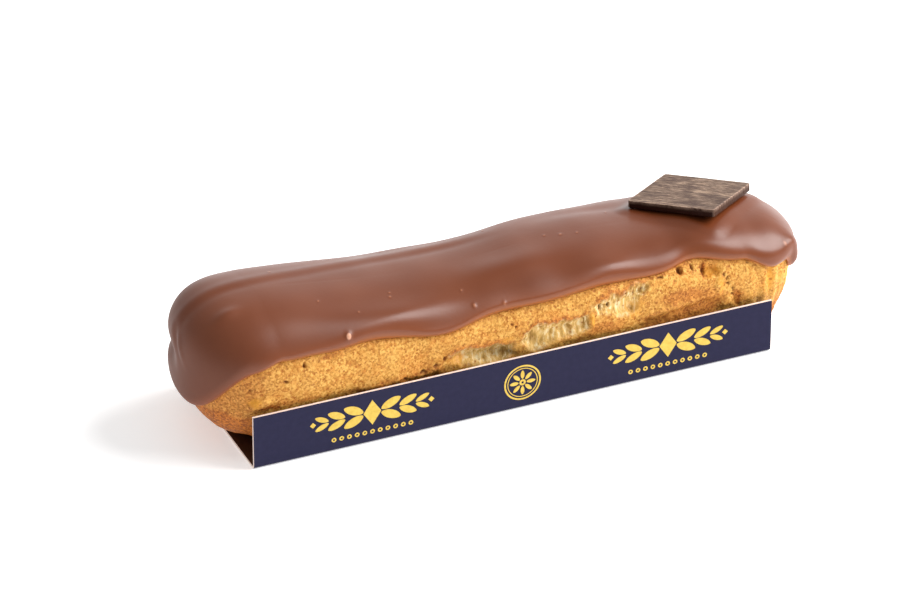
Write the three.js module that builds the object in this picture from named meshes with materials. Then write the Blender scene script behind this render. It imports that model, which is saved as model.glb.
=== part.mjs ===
// A glazed eclair in its folded card holder.
//
// Four pieces: the baked choux shell, the chocolate glaze poured over it, a thin square of
// dark chocolate laid on the glaze, and the card holder that carries the whole.
// Millimetres, +Z up. The origin is the centre of the holder's underside, +X runs along the
// eclair to its right end and +Y to its back.

import * as THREE from 'three';

// Card holder: one strip of card folded up into two low walls, open at both ends.
const HOLDER_LENGTH = 130;
const HOLDER_WIDTH = 40;
const WALL_HEIGHT = 13.8;
const CARD_THICKNESS = 0.6;
const FOLD_RADIUS = 1.0;
const FOLD_STEPS = 4;
// Clear space kept between pieces that touch.
const TOUCH_GAP = 0.3;

// Choux shell: a straight spine with a rounded end at each side.
const SPINE_LEFT = -56.6;
const SPINE_RIGHT = 58.4;
const END_LEFT = 17.0;
const END_RIGHT = 17.3;
const SHELL_HALF_WIDTH = 18.3;
const SHELL_HEIGHT = 28.8;
const WIDEST_HEIGHT = 19.2;
const SHELL_LIFT = CARD_THICKNESS + TOUCH_GAP;

// Share of its width that the shell rests on, across the middle and at the two tips.
const BASE_SHARE = 0.7;
const BASE_SHARE_LEFT_TIP = 0.12;
const BASE_SHARE_RIGHT_TIP = 0.35;
// How far round to the left tip the underside has drawn in: 0 is the side and 1 the tip.
const BASE_DRAWN_IN = 0.6;

// Powers of the superellipses that round the shell, above and below its widest line and in
// plan, and how much each changes towards an end.
const POWER_UPPER = 2.3;
const POWER_UPPER_LEFT_TIP = 3.0;
const POWER_UPPER_RIGHT_TIP = 2.1;
const POWER_LOWER = 2.1;
const POWER_LOWER_LEFT_TIP = 2.65;
const POWER_PLAN = 2.25;
const POWER_PLAN_RIGHT_FRONT = 2.55;
const POWER_PLAN_RIGHT_BACK = 1.6;

// The shell is hand piped, so its lines swell and dip along X. Each swell is a bell: where it
// is, its width, and how much it adds at its middle.
const RIDGE_SWELLS = [
  { x: -12, width: 26, add: -1.3 },
  { x: -56, width: 22, add: 2.6 },
  { x: 66, width: 30, add: -3.2 },
  { x: 53, width: 12, add: 2.25 },
  { x: 76, width: 9, add: -1.1 },
  { x: 8, width: 6, add: 0.4 },
  { x: 23, width: 12, add: 0.6 },
  { x: 44, width: 4, add: -0.4 },
  { x: -58, width: 10, add: 0.7 },
  { x: 69, width: 8, add: 1.0 },
];
const WIDTH_SWELLS = [
  { x: -8, width: 24, add: -1.0 },
  { x: -55, width: 18, add: 0.3 },
];
const SPINE_SWELLS = [{ x: -8, width: 24, add: -0.4 }];

// Under the chocolate square the top leans back, by this much for each millimetre across.
const TOP_LEAN = 0.11;
const TOP_LEAN_WIDTH = 20;

// Glaze: its inside stands clear of the shell, so that neither facets nor baked relief touch.
// Then its thickness, how far up a rolled lip reaches, and the power of its rounded edge.
const GLAZE_GAP = 0.45;
const GLAZE_THICKNESS = 1.8;
const LIP_ROUND = 3.6;
const LIP_POWER = 0.6;
// Elsewhere the lip is a thin skin: its share of the thickness, how far up its rounded edge
// reaches, and how far up the glaze grows to its full thickness.
const THIN_LIP = { share: 0.8, round: 1.2, reach: 9 };
// The front lip is rolled at these places, and fully from this share of the way round to each
// tip. The back lip is rolled all along.
const FRONT_ROLLS = [
  { x: 27, width: 8, add: 1 },
  { x: 48, width: 12, add: 1 },
];
const END_ROLL = 0.6;

// The glaze's lip runs along both sides at these heights and drops over the two ends, with
// one drip on the right end.
const LIP_FRONT = 23.7;
const LIP_FRONT_SWELLS = [
  { x: -62, width: 5, add: 1.6 },
  { x: -51, width: 7, add: 0.6 },
  { x: -36, width: 6, add: 0.5 },
  { x: -17, width: 9, add: -1.8 },
  { x: 24, width: 11, add: 0.8 },
  { x: 47, width: 6, add: 1.2 },
  { x: 62, width: 9, add: -0.8 },
];
const LIP_BACK = 23.9;
const LIP_BACK_SWELLS = [
  { x: -30, width: 9, add: -1.5 },
  { x: 10, width: 12, add: 1.3 },
  { x: 38, width: 8, add: -1.2 },
];
// Each fall begins and ends at a share of the way round to the tip.
const LIP_FALLS_LEFT = [
  { by: 2.0, from: 0, to: 0.45 },
  { by: 14.6, from: 0.36, to: 1.14 },
];
const LIP_FALLS_RIGHT = [
  { by: 2.8, from: 0, to: 0.45 },
  { by: 1.6, from: 0.75, to: 1 },
];
// The drip's length, and where across the end it hangs and how wide it is, as the sine of its
// direction in plan.
const DRIP = { length: 3.0, across: -0.69, width: 0.07 };

// The glaze's own relief: a long soft crease beside the ridge that wanders from the left end's
// middle to the back, a small swelling, a dent in the left tip's back and a nose on the right
// end, where the glaze gathered before it set.
const CREASE = { depth: 0.45, width: 2.4 };
const CREASE_PATH = { backX: -12, backY: 8.8, leftX: -70, leftY: -2.2 };
const CREASE_FADE = { from: -8, to: 12 };
const CREASE_AGAIN = { x: 31, width: 12, share: 0.7 };
const SWELLING = { x: -65, y: -5.6, width: 3, height: 0.6 };
const DENT = { x: -66, run: 5, y: -2, across: 8, z: 20.6, width: 2.4, depth: 1.6 };
const NOSE = { x: 66, run: 6, y: -10, across: 3.5, z: 22.2, width: 1.5, height: 0.8 };
// Creases and swellings fade in over this height range, so that the lip keeps clear of them.
const RELIEF_FROM = 24;
const RELIEF_TO = 27;

// Dark chocolate square: it leans back on the glaze, and its front corner stands clear.
const PLAQUE_SIDE = 21.9;
const PLAQUE_THICKNESS = 1.8;
const PLAQUE_CENTRE = new THREE.Vector3(54.8, 4.3, 31.5);
const PLAQUE_LEAN_BACK = THREE.MathUtils.degToRad(12);
const PLAQUE_LEAN_RIGHT = THREE.MathUtils.degToRad(3);
const PLAQUE_TURN = THREE.MathUtils.degToRad(41.6);

// The glaze was soft when the square was laid on it, so it gave way under it and welled up
// round it: how close it lies to the square, how far it was pressed and rose at most, how far
// beyond the square's sides this reaches, and how deep below the square it fades.
const BED = { gap: 0.42, press: 1.2, rise: 0.9, rim: 1.5, fade: 5, deep: 3 };

// Number of stations along one side and round one end, and of rows up each surface.
const SIDE_STATIONS = 48;
const END_STATIONS = 24;
const ROWS_BELOW_WIDEST = 12;
const ROWS_ABOVE_WIDEST = 8;
const ROWS_GLAZE_OUTSIDE = 12;
const ROWS_GLAZE_INSIDE = 9;

// Places where the flank burst in the oven, as soft-edged ovals pressed in (or raised, where
// depth is negative): x and height of the middle, half length, half height, tilt in radians.
const FRONT_MARKS = [
  { x: -6.5, z: 15.2, long: 9.0, high: 2.1, tilt: -0.37, depth: 1.3 },
  { x: 11.0, z: 17.5, long: 8.3, high: 2.0, tilt: 0.07, depth: 1.6 },
  { x: 27.8, z: 21.6, long: 7.0, high: 2.2, tilt: 0.28, depth: 1.8 },
  { x: 48.7, z: 23.6, long: 2.4, high: 2.0, tilt: 0, depth: 1.5 },
  { x: 55.5, z: 17.0, long: 3.6, high: 1.0, tilt: -1.26, depth: 0.9 },
  { x: -61.5, z: 14.5, long: 5.0, high: 1.8, tilt: 0.3, depth: -1.0 },
  { x: 39.0, z: 13.8, long: 18.0, high: 1.7, tilt: 0.03, depth: -0.7 },
];
const BACK_MARKS = [
  { x: -38.0, z: 19.0, long: 9.5, high: 2.1, tilt: 0.18, depth: 1.5 },
  { x: 3.0, z: 17.0, long: 11.0, high: 1.9, tilt: -0.12, depth: 1.5 },
  { x: 36.0, z: 20.0, long: 7.0, high: 2.2, tilt: 0.2, depth: 1.7 },
  { x: -12.0, z: 13.5, long: 20.0, high: 1.7, tilt: 0.02, depth: -0.7 },
];

// A bell of height 1 at the centre that has faded out two widths away.
const bump = (x, centre, width) => Math.exp(-(((x - centre) / width) ** 2));

const mix = THREE.MathUtils.lerp;

// Eases from 0 to 1 as t goes from 0 to 1, and holds outside.
function smooth(t) {
  const s = THREE.MathUtils.clamp(t, 0, 1);
  return s * s * (3 - 2 * s);
}

// What a list of swells adds at x.
const swell = (list, x) => list.reduce((sum, s) => sum + s.add * bump(x, s.x, s.width), 0);

// Places in millimetres to places seen from the square's middle along its sides, and back.
const TO_PLAQUE = new THREE.Matrix4()
  .makeRotationFromEuler(
    new THREE.Euler(-PLAQUE_LEAN_BACK, PLAQUE_LEAN_RIGHT, PLAQUE_TURN, 'XYZ'),
  )
  .setPosition(PLAQUE_CENTRE);
const FROM_PLAQUE = TO_PLAQUE.clone().invert();

// Height of the shell's ridge over its underside: it dips at the waist, swells towards the
// left end, falls away to the right end and domes a little under the chocolate square.
const ridgeHeight = (x) => SHELL_HEIGHT + swell(RIDGE_SWELLS, x);

// Half the shell's width: it draws in at the waist.
const halfWidth = (x) => SHELL_HALF_WIDTH + swell(WIDTH_SWELLS, x);

// Sideways place of the spine.
const spineY = (x) => swell(SPINE_SWELLS, x);

// How far a direction in plan points to an end: 0 across the eclair, 1 along it.
const endShare = (turn) => Math.abs(Math.cos(turn));

// The powers in a direction: each eases from its value along the side to that at the end.
function planPower(turn) {
  if (Math.cos(turn) <= 0) {
    return POWER_PLAN;
  }
  const end = Math.sin(turn) > 0 ? POWER_PLAN_RIGHT_BACK : POWER_PLAN_RIGHT_FRONT;
  return mix(POWER_PLAN, end, smooth(2 * endShare(turn)));
}

function upperPower(turn) {
  const tip = Math.cos(turn) > 0 ? POWER_UPPER_RIGHT_TIP : POWER_UPPER_LEFT_TIP;
  return mix(POWER_UPPER, tip, smooth(endShare(turn)));
}

function lowerPower(turn) {
  const tip = Math.cos(turn) > 0 ? POWER_LOWER : POWER_LOWER_LEFT_TIP;
  return mix(POWER_LOWER, tip, smooth(endShare(turn)));
}

// Distance in plan from the spine to the shell's widest line.
function planRadius(x, turn) {
  const reach = Math.cos(turn) > 0 ? END_RIGHT : END_LEFT;
  const power = planPower(turn);
  const along = Math.abs(Math.cos(turn) / reach) ** power;
  const across = Math.abs(Math.sin(turn) / halfWidth(x)) ** power;
  return (along + across) ** (-1 / power);
}

// Share of that distance that the flat underside reaches to. It draws in early round the left
// end, which stands clear of the card.
function baseShare(turn) {
  const share = endShare(turn);
  return Math.cos(turn) < 0
    ? mix(BASE_SHARE, BASE_SHARE_LEFT_TIP, smooth(share / BASE_DRAWN_IN))
    : mix(BASE_SHARE, BASE_SHARE_RIGHT_TIP, smooth(share));
}

// How much higher the top is at this place than a level one: under the chocolate square it
// leans back, high at the front.
const topLean = (x, y) => -TOP_LEAN * y * bump(x, PLAQUE_CENTRE.x, TOP_LEAN_WIDTH);

// A point on the plain shell. Rise runs from -90 degrees at the edge of the underside over 0
// at the widest line to 90 degrees on the ridge, round two superellipse arcs.
function shellPoint(x, turn, rise) {
  const out = Math.cos(rise);
  const up = Math.abs(Math.sin(rise));
  const power = rise >= 0 ? upperPower(turn) : lowerPower(turn);
  const size = (Math.abs(out) ** power + up ** power) ** (-1 / power);
  const radius = planRadius(x, turn);
  const base = radius * baseShare(turn);
  const reach = rise >= 0 ? radius * out * size : base + (radius - base) * out * size;
  const y = spineY(x) + reach * Math.sin(turn);
  const along = x + reach * Math.cos(turn);
  // Over the right end the ridge goes on falling, and over the left end it stays level.
  const ridgeX = Math.max(along, SPINE_LEFT);
  const height = rise >= 0
    ? WIDEST_HEIGHT + (ridgeHeight(ridgeX) - WIDEST_HEIGHT + topLean(ridgeX, y)) * up * size
    : WIDEST_HEIGHT * (1 - up * size);
  return new THREE.Vector3(along, y, SHELL_LIFT + height);
}

// Height of the glaze's lip over the shell's underside: it rolls up and down along each side
// and runs down over both ends.
function lipHeight(x, turn) {
  const front = LIP_FRONT + swell(LIP_FRONT_SWELLS, x);
  const back = LIP_BACK + swell(LIP_BACK_SWELLS, x);
  const side = mix(front, back, smooth((Math.sin(turn) + 1) / 2));
  const atLeft = Math.cos(turn) < 0;
  const drip = atLeft ? 0 : DRIP.length * bump(Math.sin(turn), DRIP.across, DRIP.width);
  return (atLeft ? LIP_FALLS_LEFT : LIP_FALLS_RIGHT).reduce(
    (height, { by, from, to }) => height - by * smooth((endShare(turn) - from) / (to - from)),
    side - drip,
  );
}

// The rise at which the shell has the lip's height.
function lipRise(x, turn) {
  const lip = lipHeight(x, turn);
  const above = lip >= WIDEST_HEIGHT;
  const span = above ? ridgeHeight(x) - WIDEST_HEIGHT : WIDEST_HEIGHT;
  const share = THREE.MathUtils.clamp(Math.abs(lip - WIDEST_HEIGHT) / span, 0, 0.999);
  const power = above ? upperPower(turn) : lowerPower(turn);
  const rise = Math.atan2(share, (1 - share ** power) ** (1 / power));
  return above ? rise : -rise;
}

// Stations round the eclair, anticlockwise from above: front side, right end, back side, left
// end. Front and back stations lie opposite each other, so both sides meet on the ridge.
function ringStations() {
  const stations = [];
  const length = SPINE_RIGHT - SPINE_LEFT;
  const quarter = Math.PI / 2;
  for (let k = 0; k < SIDE_STATIONS; k += 1) {
    stations.push({ x: SPINE_LEFT + (length * k) / SIDE_STATIONS, turn: -quarter });
  }
  for (let k = 0; k < END_STATIONS; k += 1) {
    stations.push({ x: SPINE_RIGHT, turn: -quarter + (Math.PI * k) / END_STATIONS });
  }
  for (let k = 0; k < SIDE_STATIONS; k += 1) {
    const opposite = SIDE_STATIONS - k;
    stations.push({ x: SPINE_LEFT + (length * opposite) / SIDE_STATIONS, turn: quarter });
  }
  for (let k = 0; k < END_STATIONS; k += 1) {
    stations.push({ x: SPINE_LEFT, turn: quarter + (Math.PI * k) / END_STATIONS });
  }
  return stations;
}

// Outward directions at the points of a grid whose last row is the ridge.
function gridNormals(rows) {
  const last = rows.length - 1;
  return rows.map((row, i) => row.map((point, j) => {
    if (i === last) {
      return new THREE.Vector3(0, 0, 1);
    }
    const ahead = row[(j + 1) % row.length];
    const behind = row[(j + row.length - 1) % row.length];
    const above = rows[i + 1][j];
    const below = rows[Math.max(i - 1, 0)][j];
    const along = new THREE.Vector3().subVectors(ahead, behind);
    const upward = new THREE.Vector3().subVectors(above, below);
    return along.cross(upward).normalize();
  }));
}

// Depth of one oval mark at a place on the flank: full in its middle, gone past its rim.
function markDepth(mark, x, z) {
  const dx = x - mark.x;
  const dz = z - mark.z;
  const along = dx * Math.cos(mark.tilt) + dz * Math.sin(mark.tilt);
  const across = dz * Math.cos(mark.tilt) - dx * Math.sin(mark.tilt);
  const distance = Math.hypot(along / mark.long, across / mark.high);
  return mark.depth * (1 - smooth((distance - 0.4) / 0.8));
}

// How far the baked surface stands out from the plain shell: marks on each flank and a gentle
// unevenness everywhere but on the underside and beneath the glaze.
function shellRelief(point, x, turn, rise) {
  const marks = point.y < spineY(x) ? FRONT_MARKS : BACK_MARKS;
  const pressed = marks.reduce((sum, mark) => sum + markDepth(mark, point.x, point.z), 0);
  const uneven = 0.3 * Math.sin(0.23 * point.x + 0.31 * point.z + 1)
    * Math.sin(0.19 * point.z + 0.08 * point.y - 0.11 * point.x);
  const underGlaze = smooth((lipRise(x, turn) - rise - 0.05) / 0.25);
  const offBase = smooth((rise + Math.PI / 2) / 0.5);
  return (uneven - pressed) * underGlaze * offBase;
}

// Two triangles for each cell of a grid of rows, which run right round.
function gridTriangles(rows, facingIn = false) {
  const triangles = [];
  for (let i = 0; i + 1 < rows.length; i += 1) {
    const count = rows[i].length;
    for (let j = 0; j < count; j += 1) {
      const next = (j + 1) % count;
      const [a, b, c, d] = [rows[i][j], rows[i][next], rows[i + 1][next], rows[i + 1][j]];
      triangles.push(...(facingIn ? [[a, c, b], [a, d, c]] : [[a, b, c], [a, c, d]]));
    }
  }
  return triangles;
}

// One closed body from triangles: points that coincide become one, and triangles that have
// shrunk to a line are dropped.
function closedGeometry(triangles) {
  const positions = [];
  const indexOf = new Map();
  const place = (point) => {
    const key = point.toArray().map((value) => Math.round(value * 1e4)).join();
    if (!indexOf.has(key)) {
      indexOf.set(key, positions.length / 3);
      positions.push(...point.toArray());
    }
    return indexOf.get(key);
  };
  const index = triangles
    .map((corners) => corners.map(place))
    .filter(([a, b, c]) => a !== b && b !== c && c !== a)
    .flat();
  const geometry = new THREE.BufferGeometry();
  geometry.setAttribute('position', new THREE.Float32BufferAttribute(positions, 3));
  geometry.setIndex(index);
  geometry.computeVertexNormals();
  return geometry;
}

// The baked shell: a flat underside out from the spine, then the flank and the top.
function shellGeometry() {
  const stations = ringStations();
  const rises = [];
  for (let i = 0; i < ROWS_BELOW_WIDEST; i += 1) {
    rises.push((-Math.PI / 2) * (1 - i / ROWS_BELOW_WIDEST));
  }
  for (let i = 0; i <= ROWS_ABOVE_WIDEST; i += 1) {
    rises.push((Math.PI / 2) * (i / ROWS_ABOVE_WIDEST) ** 1.3);
  }
  const plain = rises.map((rise) => stations.map(({ x, turn }) => shellPoint(x, turn, rise)));
  const normals = gridNormals(plain);
  const baked = plain.map((row, i) => row.map((point, j) => {
    const { x, turn } = stations[j];
    const relief = shellRelief(point, x, turn, rises[i]);
    return point.clone().addScaledVector(normals[i][j], relief);
  }));
  const spine = stations.map(({ x }) => new THREE.Vector3(x, spineY(x), SHELL_LIFT));
  return closedGeometry(gridTriangles([spine, ...baked]));
}

// How far the glaze stands out from its even thickness at a point.
function glazeRelief({ x, y, z }) {
  const { backX, backY, leftX, leftY } = CREASE_PATH;
  const creaseY = mix(backY, leftY, smooth((x - backX) / (leftX - backX)));
  const creaseReach = smooth((x - CREASE_FADE.to) / (CREASE_FADE.from - CREASE_FADE.to))
    + CREASE_AGAIN.share * bump(x, CREASE_AGAIN.x, CREASE_AGAIN.width);
  const crease = -CREASE.depth * bump(y, creaseY, CREASE.width) * creaseReach;
  const swelling = SWELLING.height * bump(x, SWELLING.x, SWELLING.width)
    * bump(y, SWELLING.y, SWELLING.width);
  const onTop = smooth((z - RELIEF_FROM) / (RELIEF_TO - RELIEF_FROM));
  const dent = -DENT.depth * bump(z, DENT.z, DENT.width) * smooth((DENT.x - x) / DENT.run)
    * smooth((y - DENT.y) / DENT.across);
  const nose = NOSE.height * bump(z, NOSE.z, NOSE.width) * bump(y, NOSE.y, NOSE.across)
    * smooth((x - NOSE.x) / NOSE.run);
  return (crease + swelling) * onTop + dent + nose;
}

// Grows steeply from 0 at the lip to 1 where share reaches 1, as a rounded edge does.
const roundedEdge = (share) => (1 - (1 - THREE.MathUtils.clamp(share, 0, 1)) ** 2) ** LIP_POWER;

// How rolled the lip is at a station: 0 for a thin skin and 1 for a full roll.
function lipRoll(x, turn) {
  const front = Math.min(swell(FRONT_ROLLS, x), 1);
  const side = mix(front, 1, smooth((Math.sin(turn) + 1) / 2));
  return mix(side, 1, smooth(endShare(turn) / END_ROLL));
}

// The glaze's share of its thickness at a distance from its lip.
function lipShare(fromLip, roll) {
  const edge = THIN_LIP.share * roundedEdge(fromLip / THIN_LIP.round);
  const thin = mix(edge, 1, smooth(fromLip / THIN_LIP.reach));
  return mix(thin, roundedEdge(fromLip / LIP_ROUND), roll);
}

// Moves a point of the glaze's outside along the square's normal, to lie close under it.
function bedded(point) {
  const local = point.clone().applyMatrix4(FROM_PLAQUE);
  const outside = Math.max(Math.abs(local.x), Math.abs(local.y)) - PLAQUE_SIDE / 2;
  const clearance = -PLAQUE_THICKNESS / 2 - local.z;
  const near = (1 - smooth((outside - BED.rim) / BED.fade))
    * (1 - smooth((clearance - BED.deep) / BED.deep));
  local.z += near * THREE.MathUtils.clamp(clearance - BED.gap, -BED.press, BED.rise);
  return local.applyMatrix4(TO_PLAQUE);
}

// Points of the plain shell from the glaze's lip up to the ridge, closer together near the
// lip where crowding is over 1.
function glazedRows(stations, count, crowding) {
  const rows = [];
  for (let i = 0; i < count; i += 1) {
    const share = (i / (count - 1)) ** crowding;
    rows.push(stations.map(({ x, turn }) => {
      const lip = lipRise(x, turn);
      return shellPoint(x, turn, lip + (Math.PI / 2 - lip) * share);
    }));
  }
  return rows;
}

// The glaze: a skin that follows the shell, with a lip that is thin or rolled, and the square's
// bed pressed into it.
function glazeGeometry() {
  const stations = ringStations();
  const outerBase = glazedRows(stations, ROWS_GLAZE_OUTSIDE, 1.5);
  const outerNormals = gridNormals(outerBase);
  const fromLip = stations.map(() => 0);
  const outer = outerBase.map((row, i) => row.map((point, j) => {
    if (i > 0) {
      fromLip[j] += point.distanceTo(outerBase[i - 1][j]);
    }
    const share = lipShare(fromLip[j], lipRoll(stations[j].x, stations[j].turn));
    const thickness = (GLAZE_THICKNESS + glazeRelief(point)) * share;
    const outside = point.clone().addScaledVector(outerNormals[i][j], GLAZE_GAP + thickness);
    return i > 0 ? bedded(outside) : outside;
  }));
  const innerBase = glazedRows(stations, ROWS_GLAZE_INSIDE, 1);
  const innerNormals = gridNormals(innerBase);
  const inner = innerBase.map((row, i) => row.map((point, j) => (
    i === 0 ? outer[0][j] : point.clone().addScaledVector(innerNormals[i][j], GLAZE_GAP)
  )));
  return closedGeometry([...gridTriangles(outer), ...gridTriangles(inner, true)]);
}

// The card holder: a U of card with rounded folds, drawn across and drawn out lengthways.
function holderGeometry() {
  const half = HOLDER_WIDTH / 2;
  const inside = half - CARD_THICKNESS;
  const innerRadius = FOLD_RADIUS - CARD_THICKNESS;
  const outline = new THREE.Shape();
  outline.moveTo(-half, WALL_HEIGHT);
  outline.lineTo(-half, FOLD_RADIUS);
  outline.absarc(-half + FOLD_RADIUS, FOLD_RADIUS, FOLD_RADIUS, Math.PI, 1.5 * Math.PI, false);
  outline.absarc(half - FOLD_RADIUS, FOLD_RADIUS, FOLD_RADIUS, 1.5 * Math.PI, 2 * Math.PI, false);
  outline.lineTo(half, WALL_HEIGHT);
  outline.lineTo(inside, WALL_HEIGHT);
  outline.absarc(half - FOLD_RADIUS, FOLD_RADIUS, innerRadius, 2 * Math.PI, 1.5 * Math.PI, true);
  outline.absarc(-half + FOLD_RADIUS, FOLD_RADIUS, innerRadius, 1.5 * Math.PI, Math.PI, true);
  outline.lineTo(-inside, WALL_HEIGHT);
  outline.closePath();
  const geometry = new THREE.ExtrudeGeometry(outline, {
    depth: HOLDER_LENGTH,
    bevelEnabled: false,
    curveSegments: FOLD_STEPS,
  });
  const alongX = new THREE.Matrix4().makeBasis(
    new THREE.Vector3(0, 1, 0),
    new THREE.Vector3(0, 0, 1),
    new THREE.Vector3(1, 0, 0),
  );
  return geometry.applyMatrix4(alongX).translate(-HOLDER_LENGTH / 2, 0, 0);
}

function piece(name, geometry, color, roughness) {
  const material = new THREE.MeshStandardMaterial({ color, roughness, metalness: 0 });
  const mesh = new THREE.Mesh(geometry, material);
  mesh.name = name;
  return mesh;
}

const shell = piece('choux_shell', shellGeometry(), 0xd69a48, 0.75);
const glaze = piece('glaze', glazeGeometry(), 0x8a563f, 0.32);
const holder = piece('card_holder', holderGeometry(), 0x393655, 0.6);

const plaque = piece(
  'chocolate_plaque',
  new THREE.BoxGeometry(PLAQUE_SIDE, PLAQUE_SIDE, PLAQUE_THICKNESS),
  0x4a3a30,
  0.45,
);
plaque.position.copy(PLAQUE_CENTRE);
plaque.rotation.set(-PLAQUE_LEAN_BACK, PLAQUE_LEAN_RIGHT, PLAQUE_TURN, 'XYZ');

const eclair = new THREE.Group();
eclair.add(holder, shell, glaze, plaque);

export default eclair;
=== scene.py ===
import math

import bpy
import numpy as np
from mathutils import Matrix, Vector


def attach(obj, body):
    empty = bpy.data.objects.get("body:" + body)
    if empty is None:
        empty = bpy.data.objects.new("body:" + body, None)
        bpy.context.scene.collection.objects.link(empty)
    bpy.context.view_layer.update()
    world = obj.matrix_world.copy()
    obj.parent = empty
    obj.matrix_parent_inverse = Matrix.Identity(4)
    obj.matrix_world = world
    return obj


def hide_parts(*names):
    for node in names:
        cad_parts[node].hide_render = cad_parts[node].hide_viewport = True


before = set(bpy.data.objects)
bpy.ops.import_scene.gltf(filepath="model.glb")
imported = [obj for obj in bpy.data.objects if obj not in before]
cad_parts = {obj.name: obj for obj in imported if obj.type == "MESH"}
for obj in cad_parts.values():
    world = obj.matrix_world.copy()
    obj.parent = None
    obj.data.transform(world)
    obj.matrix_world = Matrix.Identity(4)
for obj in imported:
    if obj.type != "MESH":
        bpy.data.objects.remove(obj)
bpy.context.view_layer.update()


# The table: a smooth white top that the card holder stands on. It glows a little, as a table
# under studio lamps does, and so shines up into the lip of the glaze.
TABLE_SIZE = 8.0
TABLE_WHITE, TABLE_GLOW = 0.9, 0.42
scene = bpy.context.scene
scene.view_settings.view_transform = "Standard"


def new_material(name, roughness=0.5, shine=0.5):
    """A material of that roughness and shine, and its Principled shader."""
    material = bpy.data.materials.new(name)
    material.use_nodes = True
    shader = material.node_tree.nodes["Principled BSDF"]
    shader.inputs["Roughness"].default_value = roughness
    shader.inputs["Specular IOR Level"].default_value = shine
    return material, shader


def grey(share):
    """A grey from 0, black, to 1, white, as a shader takes it."""
    return (share, share, share, 1.0)


def place_in_scene(name, data):
    """A new object in the scene that holds a mesh, a lamp or a lens."""
    made = bpy.data.objects.new(name, data)
    scene.collection.objects.link(made)
    return made


table_material, table_shader = new_material("lit table", roughness=0.7, shine=0.1)
table_shader.inputs["Base Color"].default_value = grey(TABLE_WHITE)
table_shader.inputs["Emission Color"].default_value = grey(1.0)
table_shader.inputs["Emission Strength"].default_value = TABLE_GLOW
table_corners = TABLE_SIZE / 2 * np.array([(-1, -1, 0), (1, -1, 0), (1, 1, 0), (-1, 1, 0)])
table_mesh = bpy.data.meshes.new("table")
table_mesh.from_pydata(table_corners.tolist(), [], [(0, 1, 2, 3)])
table_mesh.materials.append(table_material)
table = place_in_scene("table", table_mesh)


# The light: one large soft lamp, high on the right and a little in front, and a white sweep of
# paper behind the eclair in a dimmer room, which shows in the top of the glaze.
LAMP_PLACE = Vector((1.05, -0.25, 0.93))
LAMP_SIZE, LAMP_POWER = 1.2, 35.0
# The sweep lies this way. It begins and is fully white where the view is turned to it by this
# much, as the cosine of the angle between them.
SWEEP_WAY = (0.397, 0.918, 0.0)
SWEEP_BEGINS, SWEEP_WHITE = 0.66, 0.95
ROOM_LIGHT, SWEEP_LIGHT = 0.44, 1.55


def connect(value, socket):
    """Links a pattern to a socket, or sets the socket to a plain value."""
    if isinstance(value, bpy.types.NodeSocket):
        socket.id_data.links.new(value, socket)
    else:
        socket.default_value = value


def add_node(tree, kind, **values):
    """A node of that kind, with the named inputs and settings given their values."""
    made = tree.nodes.new(kind)
    for key, value in values.items():
        if key in made.inputs:
            connect(value, made.inputs[key])
        else:
            setattr(made, key, value)
    return made


def ramp(value, *stops):
    """Colours at places from 0 to 1 along a value."""
    made = add_node(value.id_data, "ShaderNodeValToRGB", Fac=value)
    band = made.color_ramp
    while len(band.elements) < len(stops):
        band.elements.new(0.5)
    for element, (at, colour) in zip(band.elements, stops):
        element.position = at
        element.color = colour
    return made.outputs["Color"]


lamp = bpy.data.lights.new("key lamp", "AREA")
lamp.shape = "DISK"
lamp.size = LAMP_SIZE
lamp.energy = LAMP_POWER
lamp_holder = place_in_scene("key lamp", lamp)
lamp_holder.location = LAMP_PLACE
lamp_holder.rotation_euler = LAMP_PLACE.to_track_quat("Z", "Y").to_euler()

sky = bpy.data.worlds.new("room and sweep")
sky.use_nodes = True
scene.world = sky
turned_to = add_node(sky.node_tree, "ShaderNodeVectorMath", operation="DOT_PRODUCT")
connect(add_node(sky.node_tree, "ShaderNodeTexCoord").outputs["Generated"], turned_to.inputs[0])
connect(SWEEP_WAY, turned_to.inputs[1])
sweep = ramp(
    turned_to.outputs["Value"],
    (SWEEP_BEGINS, grey(ROOM_LIGHT / SWEEP_LIGHT)), (SWEEP_WHITE, grey(1.0)),
)
sky_light = sky.node_tree.nodes["Background"]
connect(sweep, sky_light.inputs["Color"])
connect(SWEEP_LIGHT, sky_light.inputs["Strength"])


# The camera stands where the photograph was taken from: a long lens in front and to the left
# of the eclair, looking down on it.
AZIMUTH, ELEVATION = math.radians(-23.4), math.radians(31.0)
VIEW_DISTANCE = 1.384
AIM = Vector((-0.008, 0.0, 0.0203))

to_camera = Vector((
    math.sin(AZIMUTH) * math.cos(ELEVATION),
    -math.cos(AZIMUTH) * math.cos(ELEVATION),
    math.sin(ELEVATION),
))
lens = bpy.data.cameras.new("camera")
lens.lens = 240.0
lens.sensor_width = 36.0
lens.clip_end = 20.0
camera = place_in_scene("camera", lens)
camera.location = AIM + VIEW_DISTANCE * to_camera
camera.rotation_euler = to_camera.to_track_quat("Z", "Y").to_euler()
scene.camera = camera


# The choux shell: a piped length of choux paste, baked until it puffed, browned and burst
# along its flanks. It lies on the card's base. Sizes are in millimetres, as a baker gives them.
MM = 0.001
CARD_THICKNESS = 0.6
SHELL_LIFT = CARD_THICKNESS + 0.3
# The spine runs between these x, and the ends are rounded on past it by these reaches.
SPINE_LEFT, SPINE_RIGHT = -56.6, 58.4
END_LEFT, END_RIGHT = 17.0, 17.3
SHELL_HALF_WIDTH, SHELL_HEIGHT, WIDEST_HEIGHT = 18.3, 28.8, 19.2
# How much of the width lies on the card, on the side and at each tip, and by which share of the
# way to the left tip it has drawn in.
BASE_SHARE, BASE_SHARE_LEFT_TIP, BASE_SHARE_RIGHT_TIP = 0.7, 0.12, 0.35
BASE_DRAWN_IN = 0.6
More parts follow.
